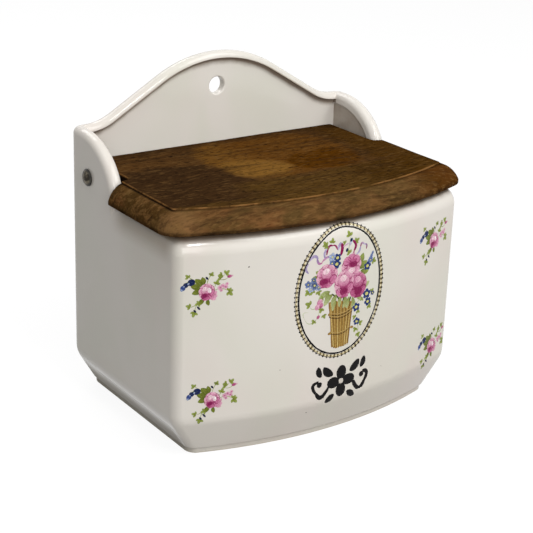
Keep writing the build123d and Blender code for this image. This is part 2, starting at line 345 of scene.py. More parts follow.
def kiln_dust(finish):
    """Rare fine dark specks: the middles of Voronoi cells, where a slow noise is high."""
    inputs = {"Vector": finish.place(), "Scale": 62.0}
    near = finish.value("ShaderNodeTexVoronoi", None, inputs, "Distance")
    slow = finish.noise(finish.place(), 37.0, 0.0)
    return finish.zone((near, 0.022, 0.012), (slow, 0.63, 0.66))


def below_crest(x, height):
    """Height from a point up to the back's arched edge: an arc, a straight slope and a hollow arc."""
    rise = crest_radii - crest_rise
    steep = asin(crest_radii / hypot(crest_foot_x, rise)) - atan2(rise, crest_foot_x)
    arc_end = crest_top_radius * sin(steep)
    slope_end = crest_foot_x - crest_foot_radius * sin(steep)
    across = abs(x)
    on_arc = across.least(arc_end)
    drop = (crest_top_radius**2 - on_arc * on_arc) ** 0.5
    drop = drop - (across.most(arc_end).least(slope_end) - arc_end) * tan(steep)
    short = crest_foot_x - across.most(slope_end).least(crest_foot_x)
    drop = drop - ((crest_foot_radius**2 - short * short) ** 0.5 - crest_foot_radius * cos(steep))
    return drop + (crest_height - crest_top_radius) - height


def crest_crease_shade(finish, x, y, height, shade_noise):
    """Painted shade in the hollow back, along the crease under its arched edge."""
    depth = below_crest(x, height)
    hollow_y = body_high[1] - back_wall
    edge_y = body_high[1] - rim_thickness
    return finish.zone(
        (depth, back_rim_width - 0.5, back_rim_width + 0.5),
        (depth + (shade_noise - 0.5) * 2.0, back_rim_width + 5.0, back_rim_width + 1.2),
        (y, hollow_y + 0.6, hollow_y + 0.2),
        (y, edge_y - 0.6, edge_y),
        (abs(x), crest_foot_x + 0.6, crest_foot_x + 0.2),
        (height, rim_height + 16, rim_height + 20),
    )


def ear_hollow_shade(finish, x, y, height):
    """Painted shade on the hollow inner face of an ear, which its rim bounds by a quarter of an ellipse.
    """
    panel_x = half_width - rim_thickness + ear_recess
    forward = (y - ear_flat_y).least(0) * (1 / (ear_flat_y - ear_front_y - rim_width))
    upward = (height - ear_curve_base) * (1 / (crest_height - crest_rise - rim_width - ear_curve_base))
    return finish.zone(
        (abs(x), panel_x - 0.6, panel_x - 0.3),
        (abs(x), panel_x + 0.8, panel_x + 0.5),
        (height, rim_height + 1, rim_height + 5),
        (y, body_high[1] - 2, body_high[1] - 3),
        (forward * forward + upward * upward, 1.04, 0.86),
    )


def glaze():
    """White glaze with painted shade under the lid, in the creases and hollows and low down; duller at
    the sides' foot, bare under it.
    """
    finish = material("tin_glaze")
    x, y, height = finish.axes()
    # noise that breaks up the edges of the painted shade and shadow
    shade_noise = finish.noise(finish.place(), 130.0, 3.0, 0.6)
    smudge = finish.noise(finish.place(), 60.0, 3.0)
    bare = finish.band(height, 0.9, 0.3)
    behind_corner = finish.band(y, -44, -34)
    below_rim = finish.band(height, rim_height + 1.0, rim_height + 0.4)
    # painted shade on the slopes at the sides' foot, where the glaze is also rougher
    dull = behind_corner * finish.zone((abs(x), half_width - 17, half_width - 12.5), (height, 20, 6))
    # painted shadow of the lid on the shoulder under its overhang
    lid_shadow_mask = below_rim * finish.zone(
        (height + (shade_noise - 0.5), rim_height - 6.5, rim_height - 1.6),
        (y, lid_side_rear + 8, lid_side_rear),
    )
    # painted shadow of the lid on the side walls below the rim
    side = below_rim * behind_corner * finish.zone(
        (height, rim_height - 17, rim_height - 7),
        (abs(x), half_width - 8, half_width - 5),
        (y, lid_side_rear + 8, lid_side_rear - 8),
    )
    colour = finish.coats(
        glaze_base(finish),
        (kiln_dust(finish) * 0.75, SPECK),
        (dull * 0.7, FOOT_SHADE),
        (lid_shadow_mask * lid_shadow_mask * 0.9, LID_SHADOW),
        (side * 0.46, SIDE_LID_SHADOW),
        (crest_crease_shade(finish, x, y, height, shade_noise) * 0.8, CREST_CREASE_SHADE),
        (ear_hollow_shade(finish, x, y, height) * (0.35 + shade_noise * 0.4), EAR_SHADE),
        # painted shade on the foot ring, the lowest few millimetres
        (finish.band(height + (shade_noise - 0.5) * 2, 4, 2) * 0.3, FOOT_RING_SHADE),
        (bare, BISQUE),
    )
    return finish.principled({
        "Base Color": colour,
        "Roughness": 0.09 + smudge * 0.07 + bare * 0.5 + dull * 0.4,
        "Specular IOR Level": 0.36,
        "Normal": glaze_normal(finish),
    })


def enamel():
    """Print fired onto the glaze. The colours of its islands are in the paint attribute."""
    finish = material("fired_print")
    grain = finish.noise(finish.place(), 1500.0, 1.0)
    screen = finish.mix(finish.band(grain, 0.3, 0.7), WHITE, SCREEN_GREY)
    colour = finish.mix(1.0, finish.attribute("paint", "Color"), screen, "MULTIPLY")
    return finish.principled({
        "Base Color": colour,
        "Roughness": 0.2 + grain * 0.1,
        "Specular IOR Level": 0.1,
        "Normal": glaze_normal(finish),
    })


def stained_wood():
    """Dark stained board with its grain along X, rubbed down to honey in the middle of its top."""
    finish = material("stained_beech")
    x, y, height = finish.axes()
    wander = finish.noise(finish.stretched((1.0, 1.6, 1.0)), 55.0, 4.0, 0.62)
    clouds = finish.noise(finish.stretched((1.0, 2.4, 2.4)), 17.0, 3.0, 0.6, 0.5)
    streaks = finish.noise(finish.stretched((24.0, 260.0, 220.0)), 1.0, 4.0, 0.65, 0.3)
    flecks = finish.noise(finish.stretched((150.0, 760.0, 560.0)), 1.0, 3.0, 0.65)
    pores = finish.noise(finish.stretched((260.0, 1250.0, 900.0), (0, 0, 0.03)), 1.0, 2.0, 0.5)
    mottle = finish.noise(finish.stretched((150.0, 230.0, 420.0)), 1.0, 4.0, 0.7, 0.4)
    loose_x = x + (wander - 0.5) * 30
    loose_y = y + (wander - 0.5) * 20

    def patch(at_x, at_y, reach_x, reach_y, loose, squareness=1.0, soft=0.16):
        """1 inside an oval on the top, with a wandering edge."""
        off_x = (x - at_x) * (1 / reach_x)
        off_y = (y - at_y) * (1 / reach_y)
        reach = (off_x * off_x) ** squareness + (off_y * off_y) ** squareness
        return finish.band(reach + (wander - 0.5) * loose, 1 + soft, 1 - soft)

    front = finish.zone((loose_y, -13, -21), (loose_x, -44, -26))
    front = front.most(finish.band(loose_y, -33, -40) * 0.8)
    honey = finish.coats(
        HONEY,
        (patch(36, -1, 26, 17, 0.9), AMBER),
        (finish.band(loose_x, 4, -12) * 0.4, STRAW_WOOD),
        (patch(-12, 1, 20, 15, 1.7, 1.0, 0.4), STRAW_WOOD),
    )
    field = finish.coats(
        WALNUT,
        (finish.band(clouds, 0.38, 0.6), UMBER),
        (patch(-58, -12, 36, 38, 1.4) * 0.75, PEAT_AND_SHADE),
        (front * 0.85, finish.mix(finish.band(loose_x, 18, 42), OLIVE, OLIVE_DARK)),
        (finish.band(loose_x, 48, 66) * 0.85, RUSSET),
        (patch(13, 18, 40, 34, 1.2, 2.0, 0.4) * 0.95, honey),
        # painted shade along the rear of the top, next to the back wall
        (finish.band(loose_y, 42, 52) * 0.6, PEAT_AND_SHADE),
    )
    side = finish.zone((abs(x), lid_half - 12, lid_half - 6), (mottle, 0.62, 0.44))
    left_corner = finish.zone((x, -68, -80), (y, -30, -40))
    # painted shade along the lid's lower edge, where it sits over the body
    low = finish.band(height + (wander - 0.5), lid_low[2] + 2.4, lid_low[2] + 0.8)
    moulding = finish.coats(
        MOULDING,
        (finish.band(mottle, 0.36, 0.66) * 0.7, TAN),
        (finish.band(wander, 0.56, 0.40) * 0.55, MOULDING_GREEN),
        (finish.band(clouds, 0.46, 0.66) * 0.6, MOULDING_RED),
        (side * 0.6, MOULDING_SIDE),
        (left_corner * 0.5, MOULDING_WORN),
        (finish.band(x, 40, 70) * 0.85, MOULDING_RIGHT),
        (low * 0.8, PORE_AND_SHADE),
    )
    top = finish.band(height, lid_high[2] - 1.4, lid_high[2] - 0.7)
    along = (x - crack_x) * (1 / crack_half)
    beside = (y - crack_y + (x - crack_x) * 0.15) * (1 / crack_width)
    crack = finish.band(along * along + beside * beside, 1.2, 0.6)
    # lighter rounded edges: wear and painted highlight
    worn_and_lit_edge = finish.attribute("edge") * finish.band(wander + streaks * 0.3, 0.5, 0.72)
    step_side = finish.band(abs(x), lid_half - 10.6, lid_half - 9.6)
    # painted shadow on the tongue's sides, in the gaps beside the ears
    tongue_side_shadow = finish.zone(
        (y, lid_side_rear + 0.6, lid_side_rear + 1.2),
        (height, lid_high[2] - 0.5, lid_high[2] - 1.5),
    )
    colour = finish.coats(
        finish.mix(top, moulding, field),
        (finish.band(streaks, 0.5, 0.34) * 0.55, PEAT_AND_SHADE),
        (finish.band(flecks, 0.5, 0.72) * (0.5 - 0.15 * top), FLECK),
        (finish.band(pores, 0.55, 0.66) * (0.2 + 0.5 * top), PORE_AND_SHADE),
        (crack * top * 0.85, PORE_AND_SHADE),
        (worn_and_lit_edge * 0.6, EDGE_WEAR_HIGHLIGHT),
        # painted shadow in the corner under the step, deeper along the sides
        (finish.attribute("groove") * (0.3 + 0.65 * step_side), STEP_SHADOW),
        (tongue_side_shadow * 0.93, PORE_AND_SHADE),
    )
    relief = streaks * 0.5 + flecks * 0.4 - finish.band(pores, 0.55, 0.7) * (0.3 + 0.5 * top)
    return finish.principled({
        "Base Color": colour,
        "Roughness": 0.55 + flecks * 0.2,
        "Specular IOR Level": 0.0,
        "Normal": finish.bump(relief, 0.0004, 0.9),
    })


def dull_metal():
    """Old steel rivet head: nearly black, rubbed bright in places, with painted shade round its rim."""
    finish = material("old_steel")
    y, height = finish.axes()[1:]
    rub = finish.band(finish.noise(finish.place(), 520.0, 3.0, 0.6), 0.42, 0.66)
    pits = finish.noise(finish.place(), 1900.0, 2.0, 0.6)
    off_y = y - hinge_y
    off_z = height - hinge_z
    # painted shade round the head's rim, where it meets the ear
    rim = finish.band((off_y * off_y + off_z * off_z) ** 0.5, head_radius - 1.1, head_radius - 0.2)
    return finish.principled({
        "Base Color": finish.coats(STEEL, (rub * 0.8, STEEL_WORN), (rim * 0.8, HEAD_RIM_SHADE)),
        "Metallic": 0.9 - rim * 0.6,
        "Roughness": 0.3 + pits * 0.3,
        "Normal": finish.bump(pits, 0.00012, 0.8),
    })


# ---- meshes -----------------------------------------------------------------------------------
def make_piece(name, points, faces, finish, attributes=None, sharp=None):
    """A mesh object at the origin. points are in millimetres, and faces is a list of index arrays."""
    mesh = bpy.data.meshes.new(name)
    mesh.from_pydata((np.asarray(points) * MM).tolist(), [], [f for part in faces for f in part.tolist()])
    for key, values in (attributes or {}).items():
        values = np.asarray(values, np.float32)
        kind, field = ("FLOAT_COLOR", "color") if values.ndim == 2 else ("FLOAT", "value")
        mesh.attributes.new(key, kind, "POINT").data.foreach_set(field, values.ravel())
    mesh.polygons.foreach_set("use_smooth", np.ones(len(mesh.polygons), bool))
    if sharp:
        mesh.set_sharp_from_angle(angle=radians(sharp))
    mesh.materials.append(finish)
    mesh.update()
    piece = bpy.data.objects.new(name, mesh)
    bpy.context.scene.collection.objects.link(piece)
    return piece


def ring_quads(rings, columns):
    """Faces between neighbouring rings of a grid that closes on itself, ring by ring."""
    ring, column = np.meshgrid(np.arange(rings - 1), np.arange(columns), indexing="ij")
    after = (column + 1) % columns
    near, far = ring * columns, (ring + 1) * columns
    return np.stack([near + column, far + column, far + after, near + after], -1).reshape(-1, 4)


def cap_fan(pole, first, columns, inward):
    """Triangles from a pole to the ring of points that starts at first."""
    column = np.arange(columns)
    after = (column + 1) % columns
    fan = np.stack([np.full(columns, pole), first + column, first + after], -1)
    return fan[:, ::-1] if inward else fan


# ---- body -------------------------------------------------------------------------------------
def glazed_body(finish):
    """The casting, from the solid's own surface: its loose triangles merged at shared corners."""
    node = frame["nodes"]["body"].data
    corners = np.zeros(len(node.vertices) * 3, np.float32)
    node.vertices.foreach_get("co", corners)
    node.calc_loop_triangles()
    triangles = np.zeros(len(node.loop_triangles) * 3, np.int32)
    node.loop_triangles.foreach_get("vertices", triangles)
    keys = np.round(corners.reshape(-1, 3) / MM, 3)
    points, same = np.unique(keys, axis=0, return_inverse=True)
    triangles = same.ravel()[triangles].reshape(-1, 3)
    whole = (triangles != np.roll(triangles, 1, axis=1)).all(axis=1)
    piece = make_piece("glazed_body", points, [triangles[whole]], finish, sharp=42)
    weighted = piece.modifiers.new("even_shading", "WEIGHTED_NORMAL")
    weighted.keep_sharp = True
    weighted.weight = 80
    return piece


# ---- lid --------------------------------------------------------------------------------------
def run(start, end, count):
    """Points on a straight line, without its start."""
    share = np.linspace(0, 1, count + 1)[1:, None]
    return np.array(start) + (np.array(end) - np.array(start)) * share


def sweep(centre, radius, start, end, count):
    """Points on an arc, without its start."""
    angle = np.linspace(start, end, count + 1)[1:, None]
    return np.array(centre) + radius * np.hstack([np.cos(angle), np.sin(angle)])


def front_corner(half, reach, radius):
    """Centre of the rounding between a side and the bowed front, and the angle where the bow ends."""
    x = half - radius
    drop = sqrt((reach - radius) ** 2 - x**2)
    return (x, bow_centre_y - drop), asin(x / (reach - radius)) - pi / 2


def lid_columns():
    """Right half of the lid in plan, from the middle of the front round to the middle of the rear.

    Each column is a vertical section of the lid. It has a point on the outline and one on the step line,
    an outward direction at both, and the rounding of its upper edge. Where the lid has no moulding the
    two points are the same.
    """
    reach = bow_radius - lid_front_setback
    step_reach = reach - moulding_front
    step_half = lid_half - moulding_side
    centre, meets = front_corner(lid_half, reach, lid_corner_radius)
    step_centre, step_meets = front_corner(step_half, step_reach, step_corner)
    bow = (0, bow_centre_y)
    middle = -pi / 2 + 0.001
    lean = (tongue_front - lid_side_rear) / (lid_half - tongue_half)
    side_end = (step_half, tongue_front - lean * (step_half - tongue_half))
    shoulder = np.array((-1, lean)) * arris / hypot(1, lean)
    rear = lid_high[1]
    inside = (tongue_half - tongue_corner, rear - tongue_corner)
    moulded = [
        (sweep(bow, reach, middle, meets, 60), sweep(bow, step_reach, middle, step_meets, 60)),
        (
            sweep(centre, lid_corner_radius, meets, 0, 14),
            sweep(step_centre, step_corner, step_meets, 0, 14),
        ),
        (
            run((lid_half, centre[1]), (lid_half, lid_side_rear), 24),
            run((step_half, step_centre[1]), side_end, 24),
        ),
    ]
    plain = [
        (run(side_end + shoulder * 0.5, (tongue_half + arris, tongue_front), 6), arris),
        (run((tongue_half, tongue_front), (tongue_half, inside[1]), 14), arris),
        (sweep(inside, tongue_corner, 0, pi / 2, 5), rear_arris),
        (run((inside[0], rear), (0.8, rear), 36), rear_arris),
    ]
    stretches = [(outer, inner, arris) for outer, inner in moulded]
    stretches += [(points, points, rounding) for points, rounding in plain]
    outlines, steps, roundings = zip(*stretches)
    rounding = np.concatenate([np.full(len(points), each) for points, each in zip(outlines, roundings)])
    facing, step_facing = (np.vstack([outward(points) for points in part]) for part in (outlines, steps))
    return np.vstack(outlines), np.vstack(steps), facing, step_facing, rounding


def outward(points):
    """Directions square to a line of points, to the right of the way that it runs."""
    along = np.gradient(points, axis=0)
    square = np.stack([along[:, 1], -along[:, 0]], -1)
    return square / np.linalg.norm(square, axis=1, keepdims=True)


def mirrored(values):
    """The right half's columns, then the same ones backwards with X turned round."""
    if values.ndim == 1:
        return np.concatenate([values, values[::-1]])
    return np.vstack([values, values[::-1] * (-1, 1)])


def board(finish):
    """Lid as one closed grid: columns round the outline, rings from the top's middle out and under.

    A ring is a height and a place on the column's section: over the field, round its edge, down the step,
    along the moulding's arc, round the nose, and back under the board.
    """
    outline, step, facing, step_facing, rounding = (mirrored(part) for part in lid_columns())
    top, bottom = lid_high[2], lid_low[2]
    width = np.linalg.norm(outline - step, axis=1)
    moulded = width > arris
    ahead = np.where(moulded[:, None], (outline - step) / np.maximum(width, 1e-6)[:, None], facing)
    step_z = top - np.where(moulded, field_step, np.maximum(field_step, rounding + 0.3))
    nose_z = bottom + moulding_nose
    fall = step_z - nose_z
    chord = np.hypot(width, fall)
    swell = np.where(moulded, moulding_swell, 0)
    rings, heights, edge, groove = [], [], [], []

    def add(points, z, edge_wear_and_highlight=0.0, step_shade=0.0):
        rings.append(points)
        heights.append(np.broadcast_to(z, len(points)))
        edge.append(np.full(len(points), edge_wear_and_highlight))
        groove.append(np.full(len(points), step_shade))

    inner = step - rounding[:, None] * step_facing
    for share in (0.03, 0.15, 0.3, 0.45, 0.6, 0.75, 0.87, 0.95, 0.985, 1):
        add(inner * share, top)
    # rings round the step's edge carry wear and painted highlight
    for turn in (radians(30), radians(60), radians(90)):
        back = rounding[:, None] * (1 - sin(turn))
        add(step - back * step_facing, top - rounding * (1 - cos(turn)), edge_wear_and_highlight=1.0 if turn < 1.2 else 0.7)
    # the corner under the step carries painted shadow
    add(step, step_z, step_shade=1.0)
    for share in (0.04, 0.1, 0.22, 0.36, 0.5, 0.64, 0.78, 0.9, 1):
        rise = swell * 4 * share * (1 - share) / chord
        out = width * share + rise * fall
        down = fall * share - rise * width
        add(step + ahead * out[:, None], step_z - down, step_shade=0.5 if share < 0.05 else 0)
    under = np.minimum(rounding, arris * 2)
    for turn in (radians(0), radians(30), radians(60), radians(90)):
        back = under[:, None] * (1 - cos(turn))
        add(outline - back * facing, bottom + under * (1 - sin(turn)), edge_wear_and_highlight=0.3)
    beneath = outline - under[:, None] * facing
    for share in (0.97, 0.85, 0.6, 0.3, 0.04):
        add(beneath * share, bottom)
    rings, heights = np.array(rings), np.array(heights)
    waves = np.sin(rings[..., 0] * 0.11 + 1.3) + np.sin(rings[..., 1] * 0.17 + rings[..., 0] * 0.05)
    heights = heights - (waves + 2) * planing * (heights - bottom) / (top - bottom)
    columns = rings.shape[1]
    grid = np.dstack([rings, heights]).reshape(-1, 3)
    poles = np.array([(0, 0, heights[0].mean()), (0, 0, bottom)])
    last = len(grid) - columns
    faces = [
        ring_quads(len(rings), columns),
        cap_fan(len(grid), 0, columns, False),
        cap_fan(len(grid) + 1, last, columns, True),
    ]
    attributes = {
        "edge": np.append(np.concatenate(edge), (0, 0)),
        "groove": np.append(np.concatenate(groove), (0, 0)),
    }
    return make_piece("wooden_lid", np.vstack([grid, poles]), faces, finish, attributes, sharp=38)


# ---- the front's surface ----------------------------------------------------------------------
turn_slope = atan(front_turn_in / (turn_height - foot_height))
turn_top = turn_height + turn_radius * sin(turn_slope / 2) / cos(turn_slope / 2)
shoulder_base = rim_height - shoulder_radius
corner_x = half_width - front_corner_radius
corner_turn = asin(corner_x / (bow_radius - front_corner_radius))
corner_y = bow_centre_y - (bow_radius - front_corner_radius) * cos(corner_turn)
bow_half_length = bow_radius * corner_turn


def on_front(s, v, lift):
    """Points at s along the bow from its middle and v up the wall, with their normals.

    Upwards, the wall is upright, then a quarter round over the shoulder; downwards, an arc and then a
    straight slope to the foot. Sideways, the bow's arc runs on into the round corner, which has the same
    tangent there.
    """
    over = np.clip((v - shoulder_base) / shoulder_radius, 0, pi / 2)
    under = np.clip((turn_top - v) / turn_radius, 0, turn_slope)
    slope = np.maximum(turn_top - v - turn_radius * turn_slope, 0)
    level = np.clip(v, turn_top, shoulder_base)
    tilt = over - under
    out = shoulder_radius * (np.cos(over) - 1) - turn_radius * (1 - np.cos(under))
    out = out - slope * sin(turn_slope) + lift * np.cos(tilt)
    z = level + shoulder_radius * np.sin(over) - turn_radius * np.sin(under)
    z = z - slope * cos(turn_slope) + lift * np.sin(tilt)
    side = np.sign(s)
    along = np.abs(s)
    turn = np.minimum(along / bow_radius, corner_turn)
    round_corner = np.maximum(along - bow_half_length, 0) / front_corner_radius
    facing = turn + round_corner
    x = (bow_radius + out) * np.sin(turn)
    y = bow_centre_y - (bow_radius + out) * np.cos(turn)
    beyond = round_corner > 0
    x = np.where(beyond, corner_x + (front_corner_radius + out) * np.sin(facing), x)
    y = np.where(beyond, corner_y - (front_corner_radius + out) * np.cos(facing), y)
    flat = np.cos(tilt)
    normal = np.stack([side * np.sin(facing) * flat, -np.cos(facing) * flat, np.sin(tilt)], -1)
    return np.stack([side * x, y, z], -1), normal


# ---- printed motifs ---------------------------------------------------------------------------
PRINT_FOOT = -0.04              # the rims of all islands lie this deep in the glaze
PRINT_LIFT = 0.035              # top of the lowest layer over the glaze
PRINT_LAYER = 0.008             # each further layer
BLOT_RINGS = (0.5, 0.86, 1.0)
BLOT_SHADES = (0.0, 0.4, 1.0)   # how much of a blot's darker rim each of its rings shows
BLOT_COLUMNS = 14
STROKE_STATIONS = 9
HOOP_STATIONS = 160
LOZENGE_ACROSS = np.array([1.0, 0.0, -1.0, 0.0])
LOZENGE_CROWN = np.array([0.0, 0.0, 0.0, 1.0])
LOZENGE_BELLY = np.array([0.0, 0.02, 0.0, 0.0])


def paints(tones):
    """Paint at the start and at the end of a motif. A colour alone serves for both."""
    first, last = tones if isinstance(tones[0], tuple) else (tones, tones)
    return *linear(first), *linear(last)


def print_top(layer):
    return PRINT_LIFT + PRINT_LAYER * layer


def lozenges(path, left, half, layer):
    """A flat lozenge carried along a path: two rims and a belly in the glaze, and a crown over it."""
    s, v = (along + beside * half * LOZENGE_ACROSS for along, beside in zip(path, left))
    lift = PRINT_FOOT + (print_top(layer) - PRINT_FOOT) * LOZENGE_CROWN - LOZENGE_BELLY
    return s, v, np.broadcast_to(lift, s.shape)


class Print:
    """Motifs gathered as closed, lens-shaped islands, in millimetres along and up the front."""

    def __init__(self, s=0, v=0):
        self.s, self.v = s, v
        self.blots, self.strokes, self.hoops = [], [], []

    def blot(self, s, v, length, width, angle=0, tones=INK, tip=1, bend=0, layer=0, rim=0.12):
        """An oval or leaf whose tones run along its length. tip 1 is an oval, and 2 has pointed ends."""
        shape = (s + self.s, v + self.v, length, width, radians(angle), tip, bend, layer, rim)
        self.blots.append((*shape, *paints(tones)))

    def stroke(self, points, width, tones=INK, layer=0, ends=0.35):
        """A brush line through three points, thinner at its ends."""
        places = [place for s, v in points for place in (s + self.s, v + self.v)]
        self.strokes.append((*places, width, layer, ends, *paints(tones)))

    def hoop(self, half_s, half_v, inset, width, tone, layer):
        """A line of even width round an oval, inset from it."""
        self.hoops.append((half_s, half_v, inset, width, layer, *linear(tone)))

    def blot_islands(self):
        """Rings about each blot's middle: x = cos t, and y = sin t raised to tip, bent by x squared."""
        rows = np.array(self.blots)[:, :, None, None]
        s, v, length, width, angle, tip, bend, layer, rim = (rows[:, k] for k in range(9))
        ring = np.array(BLOT_RINGS)[None, :, None]
        turn = (np.arange(BLOT_COLUMNS) / BLOT_COLUMNS * 2 * pi)[None, None, :]
        x = ring * np.cos(turn) * length / 2
        y = ring * np.sign(np.sin(turn)) * np.abs(np.sin(turn)) ** tip * width / 2
        y = y + bend * length * ((2 * x / length) ** 2 - 0.5)
        lift = np.where(ring < 1, print_top(layer), PRINT_FOOT) + 0 * x
        count = len(rows)
        poles = np.repeat(-0.5 * (bend * length)[:, 0], 2, 1)
        x = np.concatenate([x.reshape(count, -1), 0 * poles], 1)
        y = np.concatenate([y.reshape(count, -1), poles], 1)
        pole_lift = np.hstack([print_top(layer)[:, 0], np.full((count, 1), PRINT_FOOT)])
        lift = np.concatenate([lift.reshape(count, -1), pole_lift], 1)
        turned = angle[:, 0]
        place_s = s[:, 0] + x * np.cos(turned) - y * np.sin(turned)
        place_v = v[:, 0] + x * np.sin(turned) + y * np.cos(turned)
        share = np.clip(x / length[:, 0] + 0.5, 0, 1)[..., None]
        first, last = (rows[:, k:k + 3, 0, 0][:, None] for k in (9, 12))
        outer = np.append(np.repeat(BLOT_SHADES, BLOT_COLUMNS), (0, 1))[None, :, None]
        paint = (first * (1 - share) + last * share) * (1 - rim[:, 0][..., None] * outer)
        middle = len(BLOT_RINGS) * BLOT_COLUMNS
        faces = [
            ring_quads(len(BLOT_RINGS), BLOT_COLUMNS),
            cap_fan(middle, 0, BLOT_COLUMNS, False),
            cap_fan(middle + 1, middle - BLOT_COLUMNS, BLOT_COLUMNS, True),
        ]
        return place_s, place_v, lift, paint, faces

    def stroke_islands(self):
        """Each stroke is carried along the parabola that meets its three points."""
        rows = np.array(self.strokes)[:, :, None, None]
        places, (width, layer, ends) = rows[:, :6], (rows[:, k] for k in (6, 7, 8))
        t = np.linspace(0, 1, STROKE_STATIONS)[None, :, None]
        path, along = [], []
        for start, through, end in ((places[:, k], places[:, k + 2], places[:, k + 4]) for k in (0, 1)):
            pull = 2 * through - (start + end) / 2
            path.append((1 - t) ** 2 * start + 2 * t * (1 - t) * pull + t**2 * end)
            along.append(2 * (1 - t) * (pull - start) + 2 * t * (end - pull))
        pace = np.hypot(*along)
        half = width / 2 * (ends + (1 - ends) * np.sqrt(np.maximum(4 * t * (1 - t), 0)))
        s, v, lift = lozenges(path, (-along[1] / pace, along[0] / pace), half, layer)
        share = np.broadcast_to(t, s.shape)[..., None]
        first, last = (rows[:, k:k + 3, 0, 0][:, None, None, :] for k in (9, 12))
        end = (STROKE_STATIONS - 1) * 4
        caps = np.array([[0, 1, 2, 3], [end + 3, end + 2, end + 1, end]])
        return s, v, lift, first * (1 - share) + last * share, [ring_quads(STROKE_STATIONS, 4), caps]

    def hoop_islands(self):
        """Each hoop is carried round an oval, inset along the oval's normal."""
        rows = np.array(self.hoops)[:, :, None, None]
        half_s, half_v, inset, width, layer = (rows[:, k] for k in range(5))
        turn = (np.arange(HOOP_STATIONS) / HOOP_STATIONS * 2 * pi)[None, :, None]
        normal = np.stack([np.cos(turn) * half_v, np.sin(turn) * half_s])
        normal = normal / np.hypot(*normal)
        path_s = self.s + half_s * np.cos(turn) - normal[0] * inset
        path_v = self.v + half_v * np.sin(turn) - normal[1] * inset
        s, v, lift = lozenges((path_s, path_v), -normal, width / 2, layer)
        paint = np.broadcast_to(rows[:, 5:8, 0, 0][:, None, None, :], (*s.shape, 3))
        return s, v, lift, paint, [ring_quads(HOOP_STATIONS + 1, 4) % (HOOP_STATIONS * 4)]

    def piece(self, name, finish):
        """All islands as one mesh, shaded as the glaze under them."""
        points, normals, colours, faces = [], [], [], []
        start = 0
        for rows, islands in (
            (self.blots, self.blot_islands),
            (self.strokes, self.stroke_islands),
            (self.hoops, self.hoop_islands),
        ):
            if not rows:
                continue
            s, v, lift, paint, pattern = islands()
            place, normal = on_front(s, v, lift)
            points.append(place.reshape(-1, 3))
            normals.append(normal.reshape(-1, 3))
            colours.append(paint.reshape(-1, 3))
            size = s[0].size
            shift = (start + np.arange(len(s)) * size)[:, None, None]
            faces += [(part[None] + shift).reshape(-1, part.shape[1]) for part in pattern]
            start += len(s) * size
        paint = np.clip(np.vstack(colours), 0, 1)
        paint = np.hstack([paint, np.ones((len(paint), 1))])
        made = make_piece(name, np.vstack(points), faces, finish, {"paint": paint})
        made.data.normals_split_custom_set_from_vertices(np.vstack(normals).tolist())
        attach(made, "box")
        return made


# ---- flowers, leaves and ribbons --------------------------------------------------------------
def off(s, v, angle, reach):
    """The place at reach from s, v, in a direction given in degrees."""
    return s + cos(radians(angle)) * reach, v + sin(radians(angle)) * reach


def stalks(page, lines, last=LEAF_FRESH):
    for points in lines:
        page.stroke(points, 0.42, (LEAF, last))


def leaf(page, s, v, length, angle, width, tones):
    """A pointed leaf that starts at s, v, with a pale midrib."""
    middle = off(s, v, angle, length / 2)
    page.blot(*middle, length, length * width, angle, tones, 1.7, 0.08, 1)
    rib = [(s, v), middle, off(s, v, angle, length * 0.9)]
    page.stroke(rib, length * 0.06 + 0.08, (LEAF_PALE, LEAF_FRESH), 2)


def leaflets(page, s, v, angle, size):
    """Three small rounded leaves at the end of a stalk."""
    for turn, share in ((-64, 0.8), (0, 1.0), (66, 0.78)):
        reach = size * share / 2
        place = off(s, v, angle + turn, reach)
        page.blot(*place, 2 * reach, reach * 1.24, angle + turn, (LEAF, LEAF_FRESH), 1.2, 0.06, 1, 0.2)


def star_flower(page, s, v, radius, tones, heart, turn, middle, rim):
    """Five small round petals about a bright middle."""
    petals = 5
    for k in range(petals):
        angle = turn + k * 360 / petals
        place = off(s, v, angle, radius * 0.56)
        page.blot(*place, radius * 0.95, radius * 0.82, angle, tones, 1, 0, 3 + k % 2 * 0.5, rim)
    page.blot(s, v, radius * middle, radius * middle * 0.9, 0, heart, layer=4.5)


